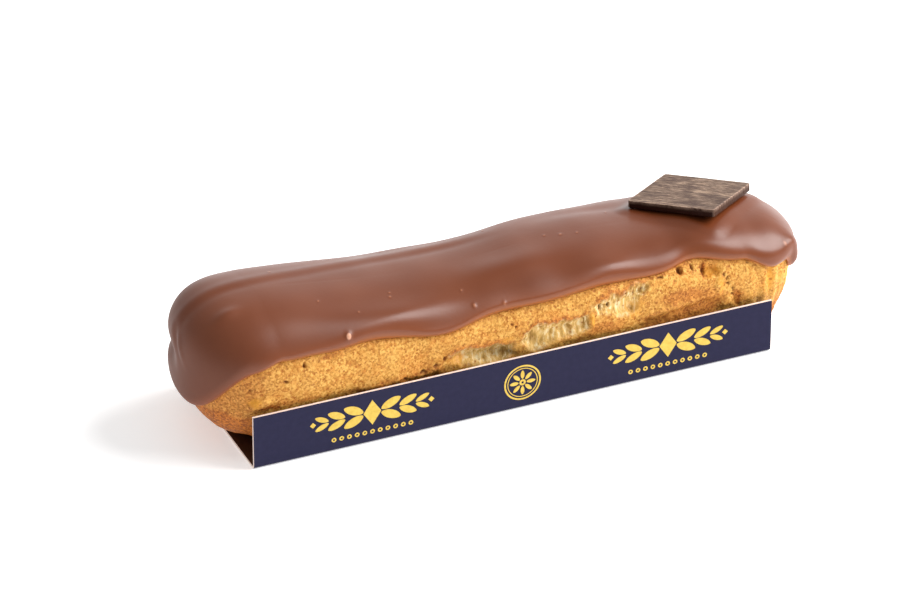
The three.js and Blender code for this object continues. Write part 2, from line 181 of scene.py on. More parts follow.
# The powers of the ends seen from above, and of the arcs over and under the widest line, on
# the side, at the left tip and at the right tip.
POWER_PLAN, POWER_PLAN_RIGHT_FRONT, POWER_PLAN_RIGHT_BACK = 2.25, 2.55, 1.6
POWERS_OVER, POWERS_UNDER = (2.3, 3.0, 2.1), (2.1, 2.65, 2.1)
# The top falls to the back by this much a millimetre, round this x and over this width.
TOP_LEAN, TOP_LEAN_X, TOP_LEAN_WIDTH = 0.11, 54.8, 20.0
# Swells and dips along the eclair: place, width and how much each adds at its middle.
RIDGE_SWELLS = [
    (-12, 26, -1.3), (-56, 22, 2.6), (66, 30, -3.2), (53, 12, 2.25), (76, 9, -1.1),
    (8, 6, 0.4), (23, 12, 0.6), (44, 4, -0.4), (-58, 10, 0.7), (69, 8, 1.0),
]
WIDTH_SWELLS = [(-8, 24, -1.0), (-55, 18, 0.3)]
SPINE_SWELLS = [(-8, 24, -0.4)]
# The height of the glaze's lip, its swells, and its falls over the ends: by how much, from
# which share of the way to the tip, and over which share.
LIP_FRONT, LIP_BACK = 23.7, 23.9
LIP_FRONT_SWELLS = [
    (-62, 5, 1.6), (-51, 7, 0.6), (-36, 6, 0.5), (-17, 9, -1.8), (24, 11, 0.8), (47, 6, 1.2),
    (62, 9, -0.8),
]
LIP_BACK_SWELLS = [(-30, 9, -1.5), (10, 12, 1.3), (38, 8, -1.2)]
LIP_FALLS_LEFT = [(2.0, 0.0, 0.45), (14.6, 0.36, 0.78)]
LIP_FALLS_RIGHT = [(2.8, 0.0, 0.45), (1.6, 0.75, 0.25)]
# The drip on the right end: how long it is, and the sine of its direction and of its width.
DRIP_LENGTH, DRIP_ACROSS, DRIP_WIDTH = 3.5, -0.69, 0.05


def bump(x, centre, width):
    """A bell of height 1 at the centre that has faded out two widths away."""
    return np.exp(-(((x - centre) / width) ** 2))


def smooth(t):
    """Eases from 0 to 1 as t goes from 0 to 1, and holds outside."""
    held = np.clip(t, 0, 1)
    return held * held * (3 - 2 * held)


def mix(a, b, share):
    """a where share is 0 and b where it is 1."""
    return a + (b - a) * share


def swell(swells, x):
    """The sum of a list of bells at x."""
    return sum(add * bump(x, place, width) for place, width, add in swells)


def ring_stations(side, end):
    """Spine place and plan direction of each station round the eclair: front side, right end,
    back side and left end, anticlockwise from above."""
    along = SPINE_LEFT + (SPINE_RIGHT - SPINE_LEFT) * np.arange(side) / side
    back = SPINE_LEFT + (SPINE_RIGHT - SPINE_LEFT) * (side - np.arange(side)) / side
    turn = -np.pi / 2 + np.pi * np.arange(end) / end
    foot = np.concatenate([along, np.full(end, SPINE_RIGHT), back, np.full(end, SPINE_LEFT)])
    heading = np.concatenate([
        np.full(side, -np.pi / 2), turn, np.full(side, np.pi / 2), turn + np.pi,
    ])
    return foot, heading


def arc_power(turn, is_over):
    """Power of the arc over or under the widest line, eased from the side to the tips."""
    over, under = (
        mix(side, np.where(np.cos(turn) > 0, right, left), smooth(np.abs(np.cos(turn))))
        for side, left, right in (POWERS_OVER, POWERS_UNDER)
    )
    return np.where(is_over, over, under)


def base_share(turn):
    """Share of the width that the underside reaches to. It draws in early round the left end,
    which stands clear of the card."""
    share = np.abs(np.cos(turn))
    left = mix(BASE_SHARE, BASE_SHARE_LEFT_TIP, smooth(share / BASE_DRAWN_IN))
    return np.where(np.cos(turn) < 0, left, mix(BASE_SHARE, BASE_SHARE_RIGHT_TIP, smooth(share)))


def shell_surface(foot, turn, rise):
    """The plain shell. Rise runs from -90 degrees at the edge of the underside over 0 on the
    widest line to 90 degrees on the ridge, round two superellipse arcs: out**p + up**p = 1.
    Over the right end the ridge goes on falling, and over the left end it stays level."""
    right = np.cos(turn) > 0
    end = np.where(np.sin(turn) > 0, POWER_PLAN_RIGHT_BACK, POWER_PLAN_RIGHT_FRONT)
    plan = np.where(right, mix(POWER_PLAN, end, smooth(2 * np.abs(np.cos(turn)))), POWER_PLAN)
    reach = np.where(right, END_RIGHT, END_LEFT)
    half_width = SHELL_HALF_WIDTH + swell(WIDTH_SWELLS, foot)
    outline = np.abs(np.cos(turn) / reach) ** plan + np.abs(np.sin(turn) / half_width) ** plan
    radius = outline ** (-1 / plan)
    base = radius * base_share(turn)
    above = rise >= 0
    power = arc_power(turn, above)
    out, up = np.abs(np.cos(rise)), np.abs(np.sin(rise))
    size = (out**power + up**power) ** (-1 / power)
    out, up = out * size, up * size
    away = np.where(above, radius * out, base + (radius - base) * out)
    y = swell(SPINE_SWELLS, foot) + away * np.sin(turn)
    x = foot + away * np.cos(turn)
    over = np.maximum(x, SPINE_LEFT)
    lean = TOP_LEAN * y * bump(over, TOP_LEAN_X, TOP_LEAN_WIDTH)
    ridge = SHELL_HEIGHT + swell(RIDGE_SWELLS, over) - lean
    height = np.where(above, WIDEST_HEIGHT + (ridge - WIDEST_HEIGHT) * up, WIDEST_HEIGHT * (1 - up))
    return np.stack([x, y, SHELL_LIFT + height], -1)


def lip_rise(foot, turn):
    """The rise at which the shell meets the glaze's lip, whose height wanders along each side
    and falls over both ends: the superellipse solved for the lip's height."""
    front = LIP_FRONT + swell(LIP_FRONT_SWELLS, foot)
    back = LIP_BACK + swell(LIP_BACK_SWELLS, foot)
    side = mix(front, back, smooth((np.sin(turn) + 1) / 2))

    def fallen(falls):
        to_tip = np.abs(np.cos(turn))
        return side - sum(by * smooth((to_tip - start) / over) for by, start, over in falls)

    drip = DRIP_LENGTH * bump(np.sin(turn), DRIP_ACROSS, DRIP_WIDTH)
    lip = np.where(np.cos(turn) < 0, fallen(LIP_FALLS_LEFT), fallen(LIP_FALLS_RIGHT) - drip)
    over = lip >= WIDEST_HEIGHT
    span = np.where(over, SHELL_HEIGHT + swell(RIDGE_SWELLS, foot) - WIDEST_HEIGHT, WIDEST_HEIGHT)
    up = np.clip(np.abs(lip - WIDEST_HEIGHT) / span, 0, 0.999)
    power = arc_power(turn, over)
    rise = np.arctan2(up, (1 - up**power) ** (1 / power))
    return np.where(over, rise, -rise)


def grid_normals(grid):
    """Outward directions at the points of a grid that closes round its second axis and whose
    last row is the ridge: the cross product of its two central differences."""
    along = np.roll(grid, -1, 1) - np.roll(grid, 1, 1)
    upward = np.gradient(grid, axis=0)
    normal = np.cross(along, upward)
    normal /= np.maximum(np.linalg.norm(normal, axis=-1, keepdims=True), 1e-9)
    normal[-1] = (0, 0, 1)
    return normal


def closed_piece(name, grids, material, fields=None, smooth_shaded=True):
    """One welded mesh object from grids of points in millimetres, each closed round its second
    axis. Points that coincide to a ten-thousandth become one and triangles that collapse are
    dropped. Fields are named numbers for each point."""
    points, corners, start = [], [], 0
    for grid in grids:
        rows, count = grid.shape[:2]
        i, j = np.meshgrid(np.arange(rows - 1), np.arange(count), indexing="ij")
        a, b = i * count + j, i * count + (j + 1) % count
        c, d = b + count, a + count
        two = np.stack([np.stack([a, b, c], -1), np.stack([a, c, d], -1)], 2).reshape(-1, 3)
        points.append(grid.reshape(-1, 3))
        corners.append(two + start)
        start += rows * count
    points, corners = np.concatenate(points), np.concatenate(corners)
    near = np.round(points, 4)
    _, first, welded = np.unique(near, axis=0, return_index=True, return_inverse=True)
    corners = welded.reshape(-1)[corners]
    corners = corners[np.all(corners != np.roll(corners, 1, axis=1), axis=1)]
    mesh = bpy.data.meshes.new(name)
    mesh.vertices.add(len(first))
    mesh.vertices.foreach_set("co", (points[first] * MM).ravel())
    mesh.loops.add(corners.size)
    mesh.loops.foreach_set("vertex_index", corners.ravel())
    mesh.polygons.add(len(corners))
    mesh.polygons.foreach_set("loop_start", np.arange(0, corners.size, 3))
    mesh.polygons.foreach_set("use_smooth", np.full(len(corners), smooth_shaded))
    mesh.materials.append(material)
    for label, values in (fields or {}).items():
        attribute = mesh.attributes.new(label, "FLOAT", "POINT")
        attribute.data.foreach_set("value", values.reshape(-1)[first])
    mesh.update(calc_edges=True)
    mesh.validate()
    return place_in_scene(name, mesh)


# Tears where the flank burst: places along each, the heights of its upper and its lower edge
# there, and how deep it goes.
FRONT_TEARS = [
    ((-15.8, -12.6, -7.0, -2.3, 0.5), (17.0, 18.0, 17.4, 17.2, 16.4),
     (15.8, 14.0, 12.2, 11.9, 13.4), 1.4),
    ((2.4, 4.1, 6.0, 8.7, 11.7, 16.1, 18.9), (16.6, 19.6, 20.3, 19.5, 19.6, 19.3, 19.8),
     (15.6, 13.2, 12.8, 13.8, 14.8, 15.1, 16.6), 1.5),
    ((20.2, 22.0, 24.6, 27.0, 30.2, 34.2), (21.9, 22.9, 23.5, 23.2, 24.0, 24.2),
     (20.7, 19.2, 18.6, 17.0, 17.4, 23.5), 1.2),
]
BACK_TEARS = [
    ((-47.5, -44.0, -38.0, -32.0, -28.5), (18.0, 20.0, 21.0, 21.4, 20.8),
     (17.2, 15.6, 16.6, 18.0, 20.0), 1.5),
    ((-8.0, -3.0, 3.0, 9.0, 14.0), (18.4, 19.6, 18.9, 18.2, 16.4),
     (17.6, 16.0, 15.0, 14.6, 15.6), 1.5),
    ((29.0, 33.0, 37.0, 41.0, 43.0), (18.6, 21.0, 22.2, 22.8, 22.0),
     (17.8, 17.4, 18.4, 20.2, 21.2), 1.6),
]
# Long ridges where the skin folded as it sank: places along each, its heights and its swell.
FRONT_RIDGES = [
    ((30.0, 34.7, 38.7, 43.7, 47.6, 54.5), (14.2, 16.1, 17.0, 17.4, 17.9, 17.3), 0.6),
    ((-40.0, -30.0, -22.0, -16.0), (13.2, 13.6, 14.2, 14.4), 0.35),
]
BACK_RIDGES = [((-32.0, -20.0, -5.0, 8.0), (13.0, 13.8, 14.0, 13.2), 0.6)]
# Single marks: x, height, half length, half height, tilt, and how far it stands out.
FRONT_MARKS = [
    (-62.3, 15.4, 3.4, 1.9, 0.25, 0.9), (50.4, 23.8, 2.3, 1.5, 0.1, -1.5),
    (54.2, 15.2, 1.9, 1.5, 0.0, 0.6), (57.0, 15.6, 0.9, 2.4, 0.0, -0.7),
    (20.0, 18.4, 0.8, 2.0, 0.1, 0.5), (52.3, 20.3, 0.9, 3.4, -0.3, 0.35),
    (65.6, 18.0, 0.9, 5.0, -0.05, -0.3),
]
BACK_MARKS = [
    (-60.0, 16.0, 3.0, 1.6, 0.2, 0.8), (55.0, 18.0, 1.2, 3.0, 0.2, -0.7),
    (20.0, 22.0, 1.6, 1.0, 0.0, -0.9),
]
# Single large pores: x, height, half width, half height and depth.
FRONT_PORES = [
    (-51.6, 23.4, 0.45, 0.75, 1.2), (-56.3, 20.5, 0.6, 0.4, 0.8), (-64.3, 19.2, 0.45, 0.45, 0.6),
    (42.4, 25.2, 0.65, 0.8, 1.5), (37.4, 24.7, 0.9, 0.4, 0.8), (45.7, 25.3, 0.3, 0.7, 0.8),
    (48.4, 24.3, 0.65, 1.5, 1.3), (22.0, 20.8, 0.4, 0.6, 0.8), (24.1, 20.9, 0.4, 0.65, 0.9),
    (28.4, 23.2, 0.3, 0.25, 0.4), (30.5, 22.9, 0.3, 0.25, 0.4), (32.6, 23.3, 0.35, 0.4, 0.5),
    (-0.4, 21.6, 0.35, 0.3, 0.6), (0.6, 21.0, 0.3, 0.4, 0.6), (53.1, 22.6, 0.3, 0.5, 0.7),
    (54.1, 21.3, 0.3, 0.55, 0.8), (54.3, 20.0, 0.3, 0.5, 0.7), (55.6, 18.3, 0.35, 0.5, 0.8),
    (55.6, 16.9, 0.5, 0.35, 0.8), (59.4, 23.9, 0.45, 0.35, 0.5), (-19.2, 15.2, 0.7, 0.55, 0.8),
    (-22.4, 14.4, 0.9, 0.5, 0.8), (-27.0, 14.0, 0.7, 0.4, 0.7), (-16.8, 16.4, 0.5, 0.6, 0.8),
]
BACK_PORES = [
    (-50.0, 22.0, 0.5, 0.7, 0.9), (-20.0, 22.5, 0.6, 0.5, 0.7), (18.0, 21.0, 0.5, 0.6, 0.8),
    (-14.0, 15.4, 0.7, 0.5, 0.8), (47.0, 21.4, 0.5, 0.6, 0.8),
]
# Where the oven left stains on the front: x, height, half length, half height and strength.
# Two of the brown ones are painted shade: under the flake on the left and in the dent at x 57.
BROWNING_AND_SHADE = [
    (-60.4, 14.2, 3.0, 1.1, 1.0), (-13.4, 16.3, 2.6, 1.3, 0.6), (-8.0, 18.0, 9.0, 0.5, 0.6),
    (48.3, 24.2, 0.7, 1.6, 1.0), (57.0, 15.6, 0.9, 2.6, 0.8), (-0.3, 15.6, 0.9, 1.6, 0.6),
    (-54.0, 14.4, 8.0, 0.9, 0.6), (-33.0, 13.4, 9.0, 1.0, 0.8), (43.5, 19.2, 8.0, 2.2, 0.7),
    (-44.5, 24.4, 3.5, 0.9, 0.6), (23.0, 15.4, 5.5, 1.6, 0.6), (-22.0, 15.6, 4.0, 1.6, 0.35),
]
# The olive ones are partly olive crumb in the tears, and mostly painted shade: at the tears' ends,
# under their upper rims and in their dark pits.
OLIVE_CRUMB_AND_SHADE = [
    (-1.4, 14.6, 1.3, 2.6, 0.6), (6.2, 19.6, 2.0, 0.9, 0.75), (18.1, 17.8, 0.9, 2.4, 0.95),
    (22.0, 20.8, 0.5, 1.0, 0.8), (24.1, 20.9, 0.5, 1.0, 0.8), (30.4, 23.0, 3.6, 1.1, 0.5),
    (26.6, 21.6, 0.8, 2.0, 0.6), (-9.0, 16.8, 3.0, 0.6, 0.6),
]
AMBER_STAINS = [
    (30.4, 18.8, 2.4, 1.9, 0.55), (20.1, 18.3, 0.9, 2.2, 0.9), (50.8, 23.6, 1.9, 1.2, 0.8),
    (65.6, 18.4, 0.9, 4.6, 0.8), (-63.8, 15.8, 1.6, 1.2, 1.0), (-13.4, 15.4, 2.4, 1.8, 0.75),
    (52.4, 20.6, 0.8, 3.2, 0.5), (-2.0, 17.6, 2.0, 0.6, 0.5),
]
# Uneven skin, each a sum of random fields: how high, how large its bumps are, and its seed.
# The edges of tears, pores and stains are frayed by such fields. The pits have size and seed only.
TEAR_FRAY_X, TEAR_FRAY_Z = [(0.8, 2.6, 1), (0.5, 1.0, 2)], [(0.6, 2.1, 3), (0.4, 0.9, 4)]
PORE_FRAY_X, PORE_FRAY_Z = [(0.3, 0.7, 7)], [(0.3, 0.7, 8)]
STAIN_FRAY, STAIN_FRAY_SIZE, STAIN_SEEDS = 0.8, 1.5, (18, 19, 20)
CRUMB_STRINGS, CRUMB_PITS, FINE_PITS = [(1.0, 1.1, 5), (0.4, 0.5, 6)], (2.3, 9), (1.0, 13)
SKIN_BUMPS = [(0.2, 5.5, 10), (0.1, 1.9, 11), (0.07, 0.8, 12)]
# Crumb strings run up the flank, so their fields are read at places scaled by this.
STRING_DRAW = (1.0, 1.0, 0.3)


def lattice_noise(points, size, seed):
    """Random smooth field from -1 to 1: a value drawn for each corner of a lattice of cubes of
    that size, blended across each cube with eased weights."""
    cell = np.floor(points / size).astype(np.int64)
    ease = points / size - cell
    ease = ease * ease * (3 - 2 * ease)
    total = np.zeros(points.shape[:-1])
    for corner in np.ndindex(2, 2, 2):
        i, j, k = np.moveaxis(cell + np.array(corner), -1, 0)
        mixed = (i * 73856093) ^ (j * 19349663) ^ (k * 83492791) ^ (seed * 2654435761)
        mixed = ((mixed ^ (mixed >> 13)) * 1274126177) & 0xFFFFFFFF
        value = ((mixed ^ (mixed >> 15)) & 0xFFFF) / 32767.5 - 1
        total += value * np.prod(np.where(corner, ease, 1 - ease), axis=-1)
    return total


def uneven(points, waves):
    """The sum of a list of random fields at points."""
    return sum(high * lattice_noise(points, size, seed) for high, size, seed in waves)


def frayed(points, waves_x, waves_z):
    """Points moved along x and up by random fields, so that what is drawn there is ragged."""
    moved = points.copy()
    moved[..., 0] += uneven(points, waves_x)
    moved[..., 2] += uneven(points, waves_z)
    return moved


def oval(points, x, z, long, high, tilt=0.0):
    """Distance from a tilted oval's middle, 1 on its rim."""
    dx, dz = points[..., 0] - x, points[..., 2] - z
    along = dx * math.cos(tilt) + dz * math.sin(tilt)
    across = dz * math.cos(tilt) - dx * math.sin(tilt)
    return np.hypot(along / long, across / high)


def stained(points, stains):
    """The strongest of a list of soft-edged ovals at each point, from 0 to 1."""
    strongest = np.zeros(points.shape[:-1])
    for *place, strength in stains:
        inside = 1 - smooth((oval(points, *place) - 0.45) / 0.9)
        strongest = np.maximum(strongest, strength * inside)
    return strongest


def baked_relief(points, tears, ridges, marks, pores):
    """How far one flank stands out from the plain shell, in millimetres, and four fields from
    0 to 1: open crumb inside the tears, painted shade in the tears' pits and under their upper
    rims, browning, and depth of the pores. A tear opens within a millimetre of its edges, its
    bed sinks with the distance from them and is pitted, and its upper rim curls out. A ridge is
    a bell across its line with a sunk browned band under it. Marks and pores are soft-edged ovals."""
    ragged = frayed(points, TEAR_FRAY_X, TEAR_FRAY_Z)
    x, z = ragged[..., 0], ragged[..., 2]
    out = np.zeros(points.shape[:-1])
    open_crumb, painted_shade, brown, hollow = (np.zeros_like(out) for _ in range(4))
    drawn = points * STRING_DRAW
    strings = uneven(drawn, CRUMB_STRINGS)
    pits = lattice_noise(points, *CRUMB_PITS) + 0.5 * lattice_noise(drawn, *FINE_PITS)
    pits = smooth((pits - 0.1) / 0.5)
    for places, upper, lower, depth in tears:
        under_top = np.interp(x, places, upper) - z
        over_bottom = z - np.interp(x, places, lower)
        ends_in = np.minimum(x - places[0], places[-1] - x)
        inside = np.minimum(np.minimum(under_top, over_bottom), ends_in)
        opened = smooth(inside / 1.7 + 0.42)
        out -= depth * smooth((inside + 0.5) / 3.0) + opened * (0.4 * pits - 0.22 * strings)
        rim = bump(under_top, -0.4, 0.9) * smooth((ends_in + 0.5) / 1.5)
        out += 0.25 * rim
        # The tears' pits and the band just under their upper rims are painted darker: painted
        # shade.
        shade = opened * np.maximum(pits, 1 - smooth((under_top - 0.2) / 1.1))
        open_crumb = np.maximum(open_crumb, opened)
        painted_shade = np.maximum(painted_shade, shade)
        brown = np.maximum(brown, 0.9 * rim)
    for places, heights, swollen in ridges:
        over = z - np.interp(x, places, heights)
        within = smooth((x - places[0]) / 4) * smooth((places[-1] - x) / 4)
        out += within * swollen * (bump(over, 0, 0.9) - 0.8 * bump(over, -2.2, 1.3))
        band = 0.5 * bump(over, 0.1, 0.8) + 0.7 * smooth((-0.1 - over) / 1.4)
        brown = np.maximum(brown, within * band)
    for *place, stands_out in marks:
        out += stands_out * (1 - smooth((oval(ragged, *place) - 0.4) / 0.8))
    around_pores = frayed(points, PORE_FRAY_X, PORE_FRAY_Z)
    for *place, depth in pores:
        dent = 1 - smooth((oval(around_pores, *place) - 0.35) / 1.0)
        out -= 0.8 * depth * dent
        hollow = np.maximum(hollow, dent)
    return out, open_crumb, painted_shade, brown, hollow


# Rows crowd between these rises, from the knee over the underside to just under the glaze.
KNEE_RISE, UNDER_GLAZE = -0.8, 0.08
# The browned band that the tin left: its height, its wander, and how fast it fades upwards.
BAND_HEIGHT, BAND_WANDER, BAND_FADE = 9.5, [(1.2, 4.0, 15)], 3.5
# The wrinkled right end and the browner left end: where each begins and over which distance.
WRINKLED_FROM, WRINKLED_OVER, WRINKLE_HEIGHT = 57, 6, 0.2
BROWNER_FROM, BROWNER_OVER = -54, 12
# The flank's mean radius, which turns a rise into a distance under the lip.
FLANK_RADIUS = 17.0


def baked_shell(side, end, rows_low, rows_flank, rows_top):
    """The shell's grid, from its spine underneath to its ridge, and the fields that its crust
    is coloured by. Its relief is laid off along the plain shell's outward directions, and
    fades out under the glaze and towards the flat underside."""
    foot, turn = ring_stations(side, end)
    lip = lip_rise(foot, turn)
    low = np.linspace(0, 1, rows_low, endpoint=False)[:, None]
    flank = np.linspace(0, 1, rows_flank, endpoint=False)[:, None]
    top = np.linspace(0, 1, rows_top)[:, None]
    under = lip + UNDER_GLAZE
    rise = np.concatenate([
        mix(-np.pi / 2, KNEE_RISE, low) + 0 * lip, mix(KNEE_RISE, under, flank),
        mix(under, np.pi / 2, top),
    ])
    plain = shell_surface(foot[None], turn[None], rise)
    normal = grid_normals(plain)
    x, y, z = np.moveaxis(plain, -1, 0)
    at_front = y < swell(SPINE_SWELLS, foot)
    front = baked_relief(plain, FRONT_TEARS, FRONT_RIDGES, FRONT_MARKS, FRONT_PORES)
    back = baked_relief(plain, BACK_TEARS, BACK_RIDGES, BACK_MARKS, BACK_PORES)
    out, open_crumb, painted_shade, brown, hollow = np.where(at_front, front, back)
    out += 0.3 * np.sin(0.23 * x + 0.31 * z + 1) * np.sin(0.19 * z + 0.08 * y - 0.11 * x)
    out += uneven(plain, SKIN_BUMPS)
    at_right = smooth((x - WRINKLED_FROM) / WRINKLED_OVER)
    wrinkle = np.sin(1.7 * (x + y) + 0.25 * z + 1.6 * lattice_noise(plain, 5.0, 14))
    out += WRINKLE_HEIGHT * at_right * wrinkle
    bottom = 1 - smooth((z - BAND_HEIGHT - uneven(plain, BAND_WANDER)) / BAND_FADE)
    at_left = smooth((BROWNER_FROM - x) / BROWNER_OVER)
    brown = np.maximum(brown, 0.8 * bottom) + 0.5 * at_left + 0.12 * lattice_noise(plain, 4.0, 16)
    under_lip = FLANK_RADIUS * (lip - rise)
    soaked = bump(under_lip, 0.2, 0.8) * (0.6 + 0.4 * lattice_noise(plain, 2.5, 17))
    brown = np.maximum(brown, 0.8 * soaked)
    clear = smooth((lip + 0.02 - rise) / 0.1)
    clear = np.where(out > 0, clear, 1 - 0.7 * (1 - clear)) * smooth((rise + np.pi / 2) / 0.5)
    baked = plain + normal * (out * clear)[..., None]
    spine = np.stack([foot, swell(SPINE_SWELLS, foot), np.full_like(foot, SHELL_LIFT)], -1)
    fray = [lattice_noise(plain, STAIN_FRAY_SIZE, seed) for seed in STAIN_SEEDS]
    shifted = plain + STAIN_FRAY * np.stack(fray, -1)
    # Oven browning, with painted shade under the left flake and in the dent at x 57.
    brown = np.maximum(brown, stained(shifted, BROWNING_AND_SHADE) * at_front)
    # Olive crumb, and painted shade in the tears' pits and under their rims.
    olive = np.maximum(stained(shifted, OLIVE_CRUMB_AND_SHADE) * at_front, 0.6 * painted_shade)
    amber = np.maximum(stained(shifted, AMBER_STAINS) * at_front, 0.25 * at_right * smooth(wrinkle))
    fields = {
        "open": open_crumb, "brown": np.clip(brown, 0, 1), "olive": olive, "amber": amber,
        "hollow": hollow,
    }
    fields = {label: np.concatenate([value[:1], value]) for label, value in fields.items()}
    return np.concatenate([spine[None], baked]), fields


def paint(red, green, blue):
    """The scene colour of a paint given as 0 to 255 screen values, by the screen's own curve."""
    share = np.array([red, green, blue]) / 255.0
    light = np.where(share <= 0.04045, share / 12.92, ((share + 0.055) / 1.055) ** 2.4)
    return (*light.tolist(), 1.0)


def place_on(shader):
    """The place on the piece, in metres, which its patterns are laid out by."""
    return add_node(shader.id_data, "ShaderNodeTexCoord").outputs["Object"]


def field(shader, label):
    """Reads one of the piece's own fields."""
    return add_node(shader.id_data, "ShaderNodeAttribute", attribute_name=label).outputs["Fac"]


def noise_at(place, scale, detail, rough=0.6):
    """A noise pattern, in cells per metre."""
    finish = {"Scale": scale, "Detail": detail, "Roughness": rough}
    return add_node(place.id_data, "ShaderNodeTexNoise", Vector=place, **finish).outputs["Fac"]


def cells_at(place, scale):
    """A pattern of cells, in cells per metre: a random colour for each, and the distance from
    its middle."""
    made = add_node(place.id_data, "ShaderNodeTexVoronoi", Vector=place, Scale=scale)
    return made.outputs["Color"], made.outputs["Distance"]


def stretched(place, x, y, z):
    """A place whose patterns are drawn out: each axis is scaled by that much."""
    made = add_node(place.id_data, "ShaderNodeVectorMath", operation="MULTIPLY")
    connect(place, made.inputs[0])
    connect((x, y, z), made.inputs[1])
    return made.outputs[0]


def step_up(value, low, high, most=1.0):
    """Grows from 0 to most as the value goes from low to high, or falls if low is over high."""
    ends = [(low, grey(0.0)), (high, grey(most))]
    return ramp(value, *sorted(ends))


def coated(under, share, coat):
    """A colour with a coat over it: the bare colour where share is 0 and the coat where it is 1."""
    made = add_node(share.id_data, "ShaderNodeMix", data_type="RGBA")
    connect(share, made.inputs[0])
    connect(under, made.inputs[6])
    connect(coat, made.inputs[7])
    return made.outputs[2]


def held_sum(operation, first, second):
    """Arithmetic on a pattern and a second one or a number, held between 0 and 1."""
    made = add_node(first.id_data, "ShaderNodeMath", operation=operation, use_clamp=True)
    connect(first, made.inputs[0])
    connect(second, made.inputs[1])
    return made.outputs[0]


def times(first, second):
    """The product of two patterns, or of a pattern and a number."""
    return held_sum("MULTIPLY", first, second)


def emboss(shader, pattern, strength, depth):
    """Lets a shader's surface rise and fall with a pattern, by that depth in metres."""
    size = {"Strength": strength, "Distance": depth}
    made = add_node(shader.id_data, "ShaderNodeBump", Height=pattern, **size)
    connect(made.outputs["Normal"], shader.inputs["Normal"])


GOLD_LIGHT, GOLD, GOLD_DEEP = paint(238, 184, 96), paint(210, 148, 64), paint(166, 96, 32)
BROWN, BROWN_LIGHT = paint(140, 72, 24), paint(208, 124, 46)
CRUMB_PALE, CRUMB, CRUMB_OLIVE = paint(250, 228, 176), paint(232, 188, 110), paint(186, 144, 72)
OLIVE_AND_SHADE, AMBER = paint(140, 100, 42), paint(232, 160, 52)
PORE_SHADE, PIT_BROWN = paint(116, 60, 20), paint(168, 92, 32)

# The crust is a speckle of fine grain and granules in golds, with larger patches and a blush.
# Over it come the browning, with two stains of painted shade, the amber stains, the bare crumb
# of the tears, olive crumb and painted shade in them, the pits, and painted shade in the pores.
crust_material, crust_shader = new_material("baked choux", roughness=0.6, shine=0.25)
crust_place = place_on(crust_shader)
patches = noise_at(crust_place, 210, 3.0, 0.55)
blush = noise_at(crust_place, 620, 3.0)
granules, _ = cells_at(crust_place, 2100.0)
grain = noise_at(crust_place, 1900, 2.0)
speckle = held_sum("ADD", times(grain, 0.62), times(granules, 0.38))
_, from_pit = cells_at(crust_place, 820.0)
pitted = times(
    step_up(from_pit, 0.34, 0.16), step_up(noise_at(crust_place, 420, 2.0), 0.42, 0.62),
)
fibres = noise_at(stretched(crust_place, 1.0, 1.0, 0.25), 1300, 3.0)
amber_stain = field(crust_shader, "amber")

crust = ramp(speckle, (0.3, GOLD_DEEP), (0.48, GOLD), (0.66, GOLD_LIGHT))
crust = coated(crust, step_up(blush, 0.5, 0.68, 0.35), BROWN_LIGHT)
crust = coated(crust, step_up(patches, 0.5, 0.75, 0.35), GOLD_LIGHT)
crust = coated(crust, step_up(patches, 0.48, 0.25, 0.25), BROWN_LIGHT)
browned = ramp(speckle, (0.34, BROWN), (0.62, BROWN_LIGHT))
# The browning, which also carries the painted shade of two brown stains.
crust = coated(crust, step_up(field(crust_shader, "brown"), 0.1, 0.95), browned)
crust = coated(crust, times(amber_stain, 0.8), AMBER)
crumb = ramp(fibres, (0.32, CRUMB_OLIVE), (0.48, CRUMB), (0.64, CRUMB_PALE))
crust = coated(crust, times(field(crust_shader, "open"), step_up(amber_stain, 0.9, 0.2)), crumb)
# Olive over the crumb: partly its own colour, mostly painted shade in the tears.
crust = coated(crust, times(field(crust_shader, "olive"), step_up(fibres, 0.66, 0.4)), OLIVE_AND_SHADE)
crust = coated(crust, times(pitted, 0.75), PIT_BROWN)
# The pores are painted dark brown: painted shade in their hollows.
crust = coated(crust, times(field(crust_shader, "hollow"), 0.9), PORE_SHADE)
connect(crust, crust_shader.inputs["Base Color"])
crust_heights = held_sum("ADD", times(speckle, 0.6), times(noise_at(crust_place, 4200, 1.0), 0.4))
crust_heights = held_sum("SUBTRACT", crust_heights, times(pitted, 0.4))
emboss(crust_shader, crust_heights, strength=0.7, depth=0.0004)

shell_grid, shell_fields = baked_shell(side=420, end=100, rows_low=12, rows_flank=72, rows_top=9)
shell = closed_piece("baked_shell", [shell_grid], crust_material, shell_fields)
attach(shell, "root")
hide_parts("choux_shell")


# The glaze: milk chocolate poured over the top while warm, so that it lies as an even skin,
# gathers in beads above its lip, runs down over both ends and keeps the creases it set with.
GLAZE_GAP = 0.12
GLAZE_THICKNESS = 2.13
LIP_ROUND, LIP_POWER = 3.6, 0.6
# Where the lip isn't rolled it is a thin skin: its share of the thickness, how far up its
# rounded edge reaches, and how far up the glaze grows to its full thickness.
THIN_SHARE, THIN_ROUND, THIN_REACH = 0.8, 1.2, 9.0
FRONT_ROLLS = [(27, 8, 1), (48, 12, 1)]
END_ROLL = 0.6
# Towards its left end the glaze set calmer and the tip itself is dull: from these places on,
# over these distances.
CALM_FROM, CALM_OVER = -24.0, 12.0
DULL_FROM, DULL_OVER = -61.0, 9.0
# The crust shines through the thin edge, less and less over this distance.
THIN_FADE = 1.3
